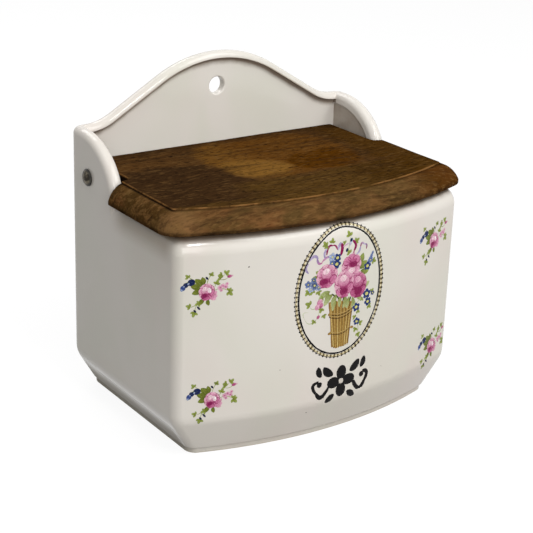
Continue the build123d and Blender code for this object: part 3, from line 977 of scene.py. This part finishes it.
def rose(page, s, v, width, height, heart, lean, layer, seed, tones=ROSE_TONES):
    """A full rose: creased outer petals, a paler cup, a dark heart low in it, and brush streaks."""
    deep, dark, mid, soft, pale, light = tones
    a, b = width / 2, height / 2
    tilt = radians(lean)
    hx, hy = heart

    def at(x, y):
        return s + a * (x * cos(tilt) - y * sin(tilt)), v + b * (x * sin(tilt) + y * cos(tilt))

    def petal(x, y, length, wide, angle, pair, step, bend=0, rim=0):
        page.blot(*at(x, y), length * a, wide * b, angle + lean, pair, 1, bend, layer + step, rim)

    petal(0, 0, 1.72, 1.72, 0, dark, 0, 0, 0.12)
    for k in range(8):
        angle = 45 * k + 14
        x, y = off(0, 0, angle, 1)
        step = k % 2 * 0.4
        petal(0.62 * x, 0.62 * y, 0.78, 0.98, angle, (deep, dark if y < 0.3 else mid), 1 + step, 0, 0.1)
        petal(0.68 * x, 0.68 * y, 0.66, 0.82, angle, (mid, soft if y < -0.3 else pale), 1.2 + step)
    petal(-0.04, 0.12, 1.16, 1.22, 90, (dark, mid), 2.2, 0, 0.1)
    petal(-0.06, 0.2, 1.02, 1.06, 90, (mid, pale), 2.6, 0, 0.1)
    petal(-0.12, 0.42, 0.74, 0.56, 20, (pale, light), 3)
    petal(hx, hy, 0.98, 0.72, 8, (deep, dark), 3.6, 0.06)
    petal(hx + 0.06, hy + 0.02, 0.62, 0.42, -8, deep, 4, 0, 0.12)
    petal(hx + 0.06, hy - 0.4, 0.84, 0.26, 6, (dark, mid), 4.2, -0.16)
    low_streaks = ((deep, dark), (dark, mid), (soft, mid))
    high_streaks = ((dark, mid), (pale, soft), (light, pale))
    rng = np.random.default_rng(seed)
    for turn, away, reach, sway, thick, shade in rng.uniform(size=(34, 6)):
        x, y = off(0, 0, 360 * turn, 1)
        out = 0.62 + 0.34 * reach
        near = np.array((hx + x * 0.44, hy + y * 0.36))
        far = np.array((x * out, y * out * 0.96))
        over = (near + far) / 2 + np.array((y, -x)) * (sway - 0.5) * 0.36
        pairs = low_streaks if y < -0.25 else high_streaks
        line = [at(*(near + (far - near) * away * 0.4)), at(*over), at(*far)]
        page.stroke(line, (0.045 + 0.07 * thick) * a, pairs[int(shade * 3)], layer + 5, 0.2)
    for x0, y0, x1, y1, x2, y2, wide, pair in (
        (-0.62, -0.1, -0.56, 0.42, -0.1, 0.72, 0.07, (dark, mid)),
        (0.5, -0.36, 0.66, 0.2, 0.28, 0.66, 0.09, (deep, mid)),
        (-0.42, 0.3, -0.2, 0.62, 0.2, 0.56, 0.07, light),
        (-0.3, 0.02, -0.24, 0.34, 0.02, 0.44, 0.06, (light, pale)),
        (0.2, -0.06, 0.3, 0.24, 0.14, 0.5, 0.06, (soft, pale)),
        (-0.88, -0.2, -0.72, -0.66, -0.3, -0.88, 0.07, (pale, soft)),
        (0.3, -0.86, 0.7, -0.62, 0.88, -0.2, 0.07, (pale, soft)),
        (-0.5, 0.86, 0.0, 0.96, 0.5, 0.82, 0.06, (soft, pale)),
    ):
        page.stroke([at(x0, y0), at(x1, y1), at(x2, y2)], wide * a, pair, layer + 5.5, 0.2)


def bell(page, s, v, size, angle, tones, layer):
    """A drooping bell: a dark cup with two flared lips, a pale throat and pale streaks."""
    page.blot(s, v, size * 1.1, size, angle, tones[0], 1.1, 0, layer, 0.1)
    tip = off(s, v, angle, size * 0.42)
    for side in (-42, 42):
        page.blot(*tip, size * 0.6, size * 0.42, angle + side, tones, 1.2, 0, layer + 0.5)
    page.blot(*tip, size * 0.34, size * 0.3, angle, (BLUE_MIST, BLUE_PALE), 1, 0, layer + 1)
    for side in (-0.2, 0, 0.2):
        ds, dv = off(0, 0, angle + 90, size * side)
        start = off(s + ds, v + dv, angle, -size * 0.25)
        line = [start, (s + ds * 1.3, v + dv * 1.3), (tip[0] + ds, tip[1] + dv)]
        page.stroke(line, size * 0.09, (BLUE, BLUE_MIST), layer + 1)


def spray(name, s, v, finish):
    """Small bunch scattered over the front: a rose, blue bells, striped blossom and trailing leaflets."""
    page = Print(s, v)
    stalks(page, (
        [(3, 2), (5, 5), (8.6, 8.6)], [(5.6, 5.8), (8, 5.6), (10.2, 6.8)],
        [(3, 0.5), (6.5, 1.2), (10.6, -0.6)], [(-2, -3.8), (-5.2, -6.2), (-6.2, -10)],
        [(-4.6, -5.6), (-6.6, -6.6), (-8.6, -7.2)], [(-4, 3), (-7, 5.6), (-11, 5)],
        [(-0.4, 4), (0, 6), (1.6, 8.6)], [(-6, 4.8), (-7.4, 6.6), (-9.6, 8)],
    ))
    for ds, dv, size, angle in (
        (-2.6, 2.6, 5.6, 128), (-3.4, 1.8, 5.2, 160), (-3, 0.4, 4.8, 188),
        (-2.2, 3.4, 4.4, 96), (-1.8, -3, 4, 236), (-0.2, -3.6, 3.4, 282),
    ):
        leaf(page, ds, dv, size, angle, 0.62, (LEAF_DARK, LEAF))
    for ds, dv, angle, size in (
        (4, 3.6, 70, 2.8), (6.2, 6.4, 130, 2.6), (8.4, 8.4, 40, 2.8), (6.6, 8.2, 190, 2.2),
        (10.2, -0.6, -50, 3.2), (9.8, -0.2, 40, 2.4), (-4, -5.4, 200, 2.6), (-8.4, -7, 160, 2.6),
        (-6.2, -9.8, 250, 3), (-9.4, 7.6, 130, 2.4), (1.4, 8.2, 60, 2.2), (1.6, 8.4, 150, 1.8),
    ):
        leaflets(page, ds, dv, angle, size * 0.9)
    rose(page, -0.5, 0, 8.2, 8.8, (-0.42, -0.3), 20, 3, 6)
    page.blot(0.6, 0.8, 2.2, 3.2, 20, (ROSE_PALE, WHITE), 1, 0, 8.2, 0)
    page.stroke([(1.9, 3.2), (3.1, 0.8), (1.5, -2.6)], 0.55, (ROSE_DARK, ROSE_DEEP), 9)
    for ds, dv, size, angle in ((3.4, -2.4, 3, 20), (2.6, -3.4, 3.2, -20), (3.6, -0.6, 2.6, 60)):
        page.blot(ds, dv, size, size * 0.6, angle, (ROSE, ROSE_PALE), 1.2, 0.05, 2)
    page.stroke([(1.9, -1.6), (3.4, -1.2), (4.4, -2.4)], 0.5, (ROSE_DEEP, ROSE), 4)
    bell(page, -8, 5.2, 3.6, 200, (BLUE_DEEP, BLUE_DEEP), 3)
    bell(page, -10.6, 4, 2.6, 215, (BLUE_DEEP, BLUE), 4)
    bell(page, -11.9, 2.6, 2.6, 240, (BLUE, BLUE_PALE), 5)
    for ds, dv, length in ((-0.6, 6.9, 2), (-4.3, -7.8, 2.6), (-6.1, -9.2, 2)):
        page.blot(ds, dv, length, 1.1, -50, (INK, BLUE_DEEP), 1.5, 0, 3)
    for ds, dv, size in (
        (5.8, 1.7, 2.6), (7.2, 2.6, 2.2), (8.6, 2, 2.4), (6.4, 0.4, 1.8), (9.2, 3.4, 1.8),
    ):
        star_flower(page, ds, dv, size * 0.52, (ROSE_SOFT, ROSE_PALE), ROSE_DARK, ds * 40, 0.4, 0.25)
    page.blot(10.3, 7, 2.6, 1.7, 10, (ROSE_DARK, ROSE), 1.3, 0, 3)
    page.blot(11.4, 7.2, 1.8, 0.9, 5, (ROSE, ROSE_PALE), 1.5, 0, 3)
    return page.piece(name, finish)


# ---- medallion --------------------------------------------------------------------------------
medallion_s, medallion_v = -0.95, 78.7
medallion_half = np.array((27.25, 35.5))
bead_count = 82
frame_outline, frame_dots, frame_bead, frame_black = 0.66, 0.42, 1.42, 2.66     # insets of its lines


def oval_points(inset, phase=0.0):
    """Evenly spaced places on the medallion's oval, inset along its normals, and their directions."""
    fine = np.linspace(0, 2 * pi, 2001)
    oval = medallion_half * np.stack([np.cos(fine), np.sin(fine)], -1)
    length = np.append(0, np.cumsum(np.hypot(*np.diff(oval, axis=0).T)))
    turn = np.interp((np.arange(bead_count) + phase) / bead_count * length[-1], length, fine)
    around = np.stack([np.cos(turn), np.sin(turn)], -1)
    normal = around * medallion_half[::-1]
    normal /= np.linalg.norm(normal, axis=1, keepdims=True)
    places = around * medallion_half - inset * normal
    return zip(*places.T, np.degrees(np.arctan2(normal[:, 1], normal[:, 0])))


def medallion_frame(finish):
    """Cream beads in a row between a thin dotted outline and a stout black line."""
    page = Print(medallion_s, medallion_v)
    page.hoop(*medallion_half, frame_bead, 1.5, BEAD_GROUND, 0)
    page.hoop(*medallion_half, frame_outline, 0.42, INK_BROWN, 1)
    page.hoop(*medallion_half, frame_black, 1.16, INK, 3)
    for s, v, angle in oval_points(frame_bead):
        page.blot(s, v, 1.3, 1.75, angle, GOLD, 0.8, 0, 1, 0.1)
        page.blot(s, v, 0.92, 1.2, angle, CREAM, 0.9, 0, 2, 0.05)
    for s, v, angle in oval_points(frame_bead, 0.5):
        line = [off(s, v, angle, -0.8), (s, v), off(s, v, angle, 0.8)]
        page.stroke(line, 0.6, (INK_BROWN, INK), 2, 0.8)
    for s, v, angle in oval_points(frame_dots, 0.5):
        page.blot(s, v, 0.9, 0.95, angle, INK, 1, 0, 3, 0)
    return page.piece("medallion_frame", finish)


# ---- basket -----------------------------------------------------------------------------------
basket_top, basket_waist, basket_foot = 73.5, 62.0, 49.0
basket_top_half, basket_foot_half = 7.6, 4.6
basket_middle = -0.6
basket_staves = 7


def basket(finish):
    """Tall basket of split staves, nipped in by its bindings."""
    page = Print()
    rng = np.random.default_rng(7)
    spacing = 2 * basket_top_half / basket_staves
    for k in range(basket_staves):
        share = (k + 0.5) / basket_staves * 2 - 1
        uneven = rng.uniform(-1.0, 1.0, 3)
        foot = basket_foot + uneven[0] * 0.5 + 0.8 * share**2
        stave = np.array((
            (basket_middle + basket_top_half * share, basket_top - abs(share) * 0.5 - share * 1.2),
            (basket_middle + 0.2 + basket_top_half * 0.8 * share, basket_waist),
            (basket_middle + 0.5 + basket_foot_half * share, foot),
        ))
        page.stroke(stave, spacing * 1.9, STRAW_DARK, 0, 0.95)
        page.stroke(stave, spacing * 0.86, (STRAW, STRAW_LIGHT if uneven[1] > 0 else STRAW), 2, 0.95)
        for shift, tones in ((-0.28, (STRAW_LIGHT, STRAW)), (0.3, (STRAW_DARK, STRAW)), (0.5, UMBER)):
            page.stroke(stave + (shift * spacing, uneven[2] * 1.5), spacing * 0.12, tones, 3, 0.3)
    for level, half in ((67.4, 7.1), (65.9, 6.9), (57.2, 6.1)):
        for sink, thick, tone in ((-0.75, 1.1, UMBER), (0, 1.2, STRAW_DARK), (0.15, 0.6, STRAW_LIGHT)):
            low = level + sink
            left, right = (basket_middle - half, low + 0.9), (basket_middle + half, low + 1.4)
            page.stroke([left, (basket_middle, low - 0.7), right], thick, tone, 4 + thick / 2, 0.85)
    for s, v, angle in ((-7.3, 67.6, 200), (-6.8, 57.2, 190), (6.8, 58, -10)):
        page.blot(s, v, 2.2, 1.5, angle, (STRAW, STRAW_DARK), 1.1, 0, 5)
    return page.piece("flower_basket", finish)


# ---- bouquet ----------------------------------------------------------------------------------
def bouquet(finish):
    """Roses and small blue flowers that fill the basket and hang over its rim."""
    page = Print()
    stalks(page, (
        [(-13, 76), (-16.5, 72), (-19.5, 74.2)], [(-12, 74), (-13.6, 70), (-14, 66)],
        [(-14, 67.4), (-18.5, 64.6), (-21.8, 67.6)], [(9, 70), (13, 72.4), (16.4, 70.6)],
        [(9.4, 61), (11, 57.4), (10.6, 53)], [(2, 98), (2.6, 103), (3.2, 107)],
        [(12, 88), (15.4, 89.4), (17.6, 94)], [(-16, 84), (-20, 83), (-22.2, 80.4)],
    ), LEAF_PALE)
    page.stroke([(-21.8, 67.6), (-22.6, 70.6), (-19.8, 70.8)], 0.4, LEAF_PALE)
    for s, v, size, angle, wide in (
        (-7.5, 80, 8, 205, 0.42), (-6, 78.5, 8, 228, 0.4), (-3.5, 78, 7.5, 244, 0.4),
        (-1, 77, 7, 262, 0.36), (1.5, 76, 7.5, 280, 0.36), (4, 75, 6.5, 262, 0.4),
        (6, 74.5, 6.5, 292, 0.38), (8.5, 75, 5.5, 320, 0.42), (11, 78, 6.5, 20, 0.5),
        (9, 88.5, 6.5, 30, 0.62), (9, 90.5, 6.5, 62, 0.56), (10.5, 87, 5.5, -12, 0.62),
        (-14.5, 87, 4.6, 165, 0.7), (-13.5, 89, 4, 140, 0.6), (-4, 74.5, 6, 250, 0.4),
        (-8.5, 79, 6, 260, 0.5), (7.5, 72.5, 5, 250, 0.4), (2.8, 73.5, 5, 240, 0.42),
    ):
        leaf(page, s, v, size, angle, wide, (LEAF, LEAF_PALE) if v < 81 else (LEAF_DARK, LEAF_FRESH))
    for s, v, length, angle in (
        (-3, 76, 4.2, 300), (0.6, 74.6, 3.6, 255), (-5.6, 77.4, 3, 320),
        (4.8, 73.4, 3.4, 250), (-1.4, 79, 2.6, 280),
    ):
        page.blot(s, v, length, 0.9, angle, (INK, LEAF_DARK), 1.8, 0, 2)
    for s, v, angle, size in (
        (-11.6, 104, 120, 3), (-10.4, 103.4, 200, 2.6), (-8, 104.8, 80, 3), (2.6, 106.6, 110, 3.4),
        (6.4, 103.2, 30, 3), (3, 97.6, 130, 3), (0, 103.4, 150, 2.2), (-19, 74.4, 150, 3.6),
        (-20, 81.6, 220, 3.2), (-18, 82, 250, 3), (-14.6, 81, 290, 3), (18.2, 91, -20, 3),
        (17, 67.4, -40, 2.8), (18.6, 74.4, 50, 2.4), (11.6, 59, 20, 2.8), (9.6, 56.8, 240, 2.8),
        (11, 53.8, 290, 2.8), (8.6, 62.6, 140, 2.4), (-12.2, 71.6, 250, 3), (-11.8, 77, 200, 2.8),
        (-10.8, 68, 290, 2.6), (-16, 65.8, 230, 2.6), (9.8, 66, -30, 2.4), (13, 72, 210, 2.2),
    ):
        leaflets(page, s, v, angle, size * 0.88)
    for s, v, radius, tones, turn in (
        (-7.4, 97.4, 2.3, (BLUE_PALE, BLUE_MIST), 10), (-4.4, 96.6, 2.3, DARK_BLUES, 40),
        (-4.6, 93.4, 2.5, DARK_BLUES, 0), (-7.4, 94.2, 1.9, (BLUE, BLUE_PALE), 60),
        (-20.6, 85.4, 2, (BLUE, BLUE_PALE), 20), (-17, 84.4, 2.6, (BLUE_DEEP, BLUE_PALE), 50),
        (-14.6, 83, 1.9, (BLUE, BLUE_MIST), 5), (-19, 82.6, 1.8, (BLUE_PALE, BLUE_MIST), 35),
        (-17.6, 87.2, 1.6, (BLUE_DEEP, BLUE_PALE), 70), (15.4, 74, 2.7, DARK_BLUES, 15),
        (16.4, 69.6, 2.3, DARK_BLUES, 45), (9, 68.2, 2.4, DARK_BLUES, 30),
        (19.4, 73.6, 1.3, DARK_BLUES, 0), (9.8, 60.4, 2.1, DARK_BLUES, 20),
        (14.8, 88.8, 2.4, DARK_BLUES, 10), (16.6, 91.6, 1.8, (BLUE, BLUE_PALE), 40),
    ):
        middle, rim = (0.85, 0.1) if tones == DARK_BLUES else (0.55, 0.55)
        star_flower(page, s, v, radius, tones, BUTTER, turn, middle, rim)
    for s, v, size in ((17.2, 93.8, 1.8), (17.9, 95.2, 1.5), (3.6, 104.4, 1.6), (1.2, 99.6, 1.6)):
        page.blot(s, v, size * 1.4, size, 70, (BLUE, BLUE_PALE) if s > 10 else BLUE_DEEP, 1.3, 0, 3)
    for s, v, size, tones in (
        (-13.4, 75.2, 3.2, (ROSE, ROSE_PALE)), (-14.6, 72.8, 3, (ROSE_SOFT, ROSE_PALE)),
        (-12.6, 73.2, 2.4, (ROSE_DARK, ROSE_SOFT)), (-14, 67.4, 1.8, (ROSE_DARK, ROSE)),
    ):
        ds, dv = size * 0.4, size * 0.3
        page.blot(s, v, size * 1.25, size, 50, tones, 1.1, 0, 3, 0.2)
        page.stroke([(s - ds, v - dv), (s, v), (s + ds, v + dv)], size * 0.16, (ROSE_DARK, ROSE_PALE), 4)
    darker = (ROSE_DEEP, ROSE_DEEP, ROSE_DARK, ROSE, ROSE_SOFT, ROSE_PALE)
    rose(page, 4.6, 91, 12.6, 12, (-0.1, -0.12), 168, 4, 3)
    rose(page, -10, 88, 13, 12.4, (-0.22, -0.42), 0, 4, 4)
    rose(page, 9.4, 79.8, 11.4, 14.4, (0.1, -0.42), -8, 5, 5, darker)
    rose(page, 0.6, 82.2, 12, 14.8, (0, -0.5), 0, 8, 8)
    return page.piece("bouquet", finish)


def ribbons(finish):
    """Two-toned ribbon that loops out of the flowers on both sides."""
    page = Print()
    for points, width, tones, layer in (
        ([(-11.6, 97.4), (-12, 100.6), (-9.6, 102.8)], 1.6, (LILAC, LILAC_PALE), 1),
        ([(-10.8, 99), (-9.8, 103), (-7.4, 103.2)], 1.5, (MAGENTA, MAGENTA), 2),
        ([(-7.6, 103.2), (-6, 103), (-4.4, 100.6)], 1.3, (MAGENTA, ROSE_DARK), 2),
        ([(-4.4, 100.4), (-3.4, 103), (-2.4, 103.6)], 2, (LILAC_PALE, LILAC), 2),
        ([(-2.6, 103.4), (-1.6, 101.4), (-2.4, 97.4)], 2.4, (MAGENTA, MAGENTA), 3),
        ([(-1.4, 101.6), (0.6, 102.4), (2.2, 103)], 1.1, (ROSE_SOFT, LILAC_PALE), 2),
        ([(4.4, 104), (6.6, 101.4), (5.6, 98.4)], 2.2, (MAGENTA, MAGENTA), 3),
        ([(3, 101.6), (3.4, 103.6), (4.6, 104.2)], 2, (LILAC_PALE, BLUE_MIST), 2),
        ([(5.8, 98.4), (5.6, 97), (7.2, 96)], 1.5, (ROSE_DARK, ROSE_PALE), 2),
        ([(7.2, 96.6), (8.8, 97.4), (9.6, 100)], 1.5, (LILAC_PALE, LILAC), 2),
        ([(9.6, 99.6), (10.4, 101.6), (12.4, 100.4)], 1.3, (MAGENTA, LILAC_PALE), 2),
        ([(12.4, 100.6), (13.6, 100), (13.4, 98)], 1.3, (LILAC, MAGENTA), 3),
        ([(-8.6, 97.8), (-11, 97.6), (-13.4, 95.6)], 1.6, (LILAC, ROSE_SOFT), 1),
        ([(-13.2, 95.6), (-15, 95.4), (-16.2, 98)], 1.8, (ROSE, LILAC), 2),
        ([(-15.6, 98), (-18, 99.4), (-20.6, 97.2)], 1.9, (LILAC, LILAC_PALE), 1),
        ([(-20.8, 96), (-22.2, 93.6), (-20.6, 91.2)], 1.7, (LILAC_PALE, LILAC), 2),
    ):
        page.stroke(points, width, tones, layer, 0.45)
        page.stroke(points, width * 0.2, tones[::-1], layer + 1, 0.3)
    return page.piece("ribbons", finish)


# ---- black ornament ---------------------------------------------------------------------------
ornament_s, ornament_v = 1.9, 29.8


def caption_ornament(finish):
    """Fleuron in black: a four-petalled flower between two curled stems with leaves and beads."""
    page = Print(ornament_s, ornament_v)
    for angle in (0, 90, 180, 270):
        page.blot(*off(0, 0, angle, 4.7), 8.2, 6.4, angle, INK, 1, 0, 2, 0)
    page.blot(0, 0, 3.2, 3.2, 0, GLAZE, 1, 0, 5, 0)
    for side in (-1, 1):
        page.stroke([(side * 7.8, -1.8), (side * 11.8, -6.6), (side * 15.4, -3.4)], 3.2, INK, 2, 0.7)
        page.stroke([(side * 15.2, -3.8), (side * 16.9, 0.6), (side * 13.8, 2.2)], 2.8, INK, 2, 0.7)
        page.blot(side * 13.2, 0.6, 3.2, 3.2, 0, INK, 1, 0, 3, 0)
        page.blot(side * 8.4, 6.6, 8.4, 4.6, 90 - side * 48, INK, 1.25, side * 0.08, 2, 0)
        page.blot(side * 13.6, 7.4, 6.6, 3.6, 90 - side * 20, INK, 1.25, side * 0.08, 2, 0)
        page.blot(side * 6.6, -8.4, 6.8, 3.8, 90 + side * 52, INK, 1.25, 0, 2, 0)
    return page.piece("black_ornament", finish)


def specks(finish):
    """Dark specks that the kiln left in the glaze."""
    page = Print()
    for s, v, size in ((-52.2, 98.7, 0.7), (-34.2, 43, 0.45), (-17.2, 15.5, 0.55), (29, 31, 0.35)):
        page.blot(s, v, size * 1.2, size, 30, SPECK, 1, 0, 1, 0)
    return page.piece("glaze_specks", finish)


# ---- stage, light and camera ------------------------------------------------------------------
WORLD_LIGHT = 0.22              # strength of the white surroundings as a light
FLOOR_GLOW = 1.04               # strength of the floor where the camera sees it
FLOOR_GLOW_SHARE = 0.88         # the rest of it is paper that shows the shadow
FLOOR_HALF = 2500.0
LAMP_TARGET = Vector((0, 0, 0.08))
LAMP_DISTANCE = 1.45
LAMPS = (               # bearing to the right of the front, height over the horizon, side, watts
    ("key_lamp", radians(35), radians(46), 0.8, 11.2),
    ("front_lamp", radians(-25), radians(20), 0.8, 9.2),
    ("top_lamp", radians(-40), radians(80), 0.8, 3.0),
    ("back_lamp", radians(180), radians(50), 0.8, 6.5),
    ("bright_window", radians(-7), radians(46), 0.16, 3.8),
)


def behind_everything(finish, seen, lighting):
    """The shader seen by the camera and in glossy and clear surfaces, and lighting for the rest."""
    ray = finish.node("ShaderNodeLightPath")
    kinds = ("Is Camera Ray", "Is Glossy Ray", "Is Transmission Ray")
    camera, glossy, clear = (Value(finish, ray.outputs[kind]) for kind in kinds)
    inputs = {0: camera.most(glossy).most(clear), 1: lighting.outputs[0], 2: seen.outputs[0]}
    return finish.node("ShaderNodeMixShader", None, inputs)


def studio():
    """Pale floor that keeps the shadow, white surroundings, four soft lamps and a small bright one."""
    world = Finish(bpy.data.worlds.new("studio"))
    bpy.context.scene.world = world.owner
    seen = world.node("ShaderNodeBackground", None, {"Color": rgba(WHITE), "Strength": 1.0})
    dim = world.node("ShaderNodeBackground", None, {"Color": rgba(WHITE), "Strength": WORLD_LIGHT})
    world.surface(behind_everything(world, seen, dim))
    ground = material("pale_floor")
    paper = ground.node("ShaderNodeBsdfDiffuse", None, {"Color": rgba(PAPER)})
    glow = ground.node("ShaderNodeEmission", None, {"Color": rgba(WHITE), "Strength": FLOOR_GLOW})
    inputs = {0: FLOOR_GLOW_SHARE, 1: paper.outputs[0], 2: glow.outputs[0]}
    soft = ground.node("ShaderNodeMixShader", None, inputs)
    dull = ground.node("ShaderNodeBsdfDiffuse", None, {"Color": rgba(FLOOR_GREY)})
    ground.surface(behind_everything(ground, soft, dull))
    corners = np.array([(-1, -1, 0), (1, -1, 0), (1, 1, 0), (-1, 1, 0)]) * FLOOR_HALF
    floor = make_piece("floor", corners, [np.array([[0, 1, 2, 3]])], ground.owner)
    for name, bearing, height, side, power in LAMPS:
        lamp = bpy.data.lights.new(name, "AREA")
        lamp.shape = "SQUARE"
        lamp.size = side
        lamp.energy = power
        away = Vector((sin(bearing) * cos(height), -cos(bearing) * cos(height), sin(height)))
        holder = bpy.data.objects.new(name, lamp)
        holder.location = LAMP_TARGET + away * LAMP_DISTANCE
        holder.rotation_euler = away.to_track_quat("Z", "Y").to_euler()
        bpy.context.scene.collection.objects.link(holder)


render_side = 533               # of the render that the focal length belongs to, in pixels
focal_length = 1420.9           # in the same pixels
sensor_width = 36.0
camera_place = Vector((-0.40075, -0.56794, 0.33294))
camera_target = Vector((-0.00221, 0.00125, 0.07105))
camera_roll = radians(2.03)


def camera():
    """Camera at the left of the front, a little above the lid and slightly rolled."""
    made = bpy.data.cameras.new("camera")
    made.sensor_width = sensor_width
    made.lens = sensor_width * focal_length / render_side
    forward = (camera_target - camera_place).normalized()
    level = forward.cross(Vector((0, 0, 1))).normalized()
    upright = level.cross(forward)
    right = cos(camera_roll) * level + sin(camera_roll) * upright
    up = cos(camera_roll) * upright - sin(camera_roll) * level
    turn = Matrix((right, up, -forward)).transposed().to_4x4()
    holder = bpy.data.objects.new("camera", made)
    holder.matrix_world = Matrix.Translation(camera_place) @ turn
    bpy.context.scene.collection.objects.link(holder)
    bpy.context.scene.camera = holder


# ---- the whole object -------------------------------------------------------------------------
camera()
studio()
bpy.context.scene.view_settings.view_transform = "Standard"

body_piece = glazed_body(glaze())
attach(body_piece, "box")
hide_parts("body")

lid_piece = board(stained_wood())
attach(lid_piece, "lid")
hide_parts("lid")

steel = dull_metal()
for pin in ("hinge_pin_left", "hinge_pin_right"):
    for material_slot in frame["nodes"][pin].material_slots:
        material_slot.material = steel

fired = enamel()
medallion_frame(fired)
basket(fired)
bouquet(fired)
ribbons(fired)
caption_ornament(fired)
specks(fired)
for name, s, v in (
    ("spray_upper_left", -72, 88), ("spray_lower_left", -68.4, 32),
    ("spray_upper_right", 66.5, 90.6), ("spray_lower_right", 72, 29.8),
):
    spray(name, s, v, fired)
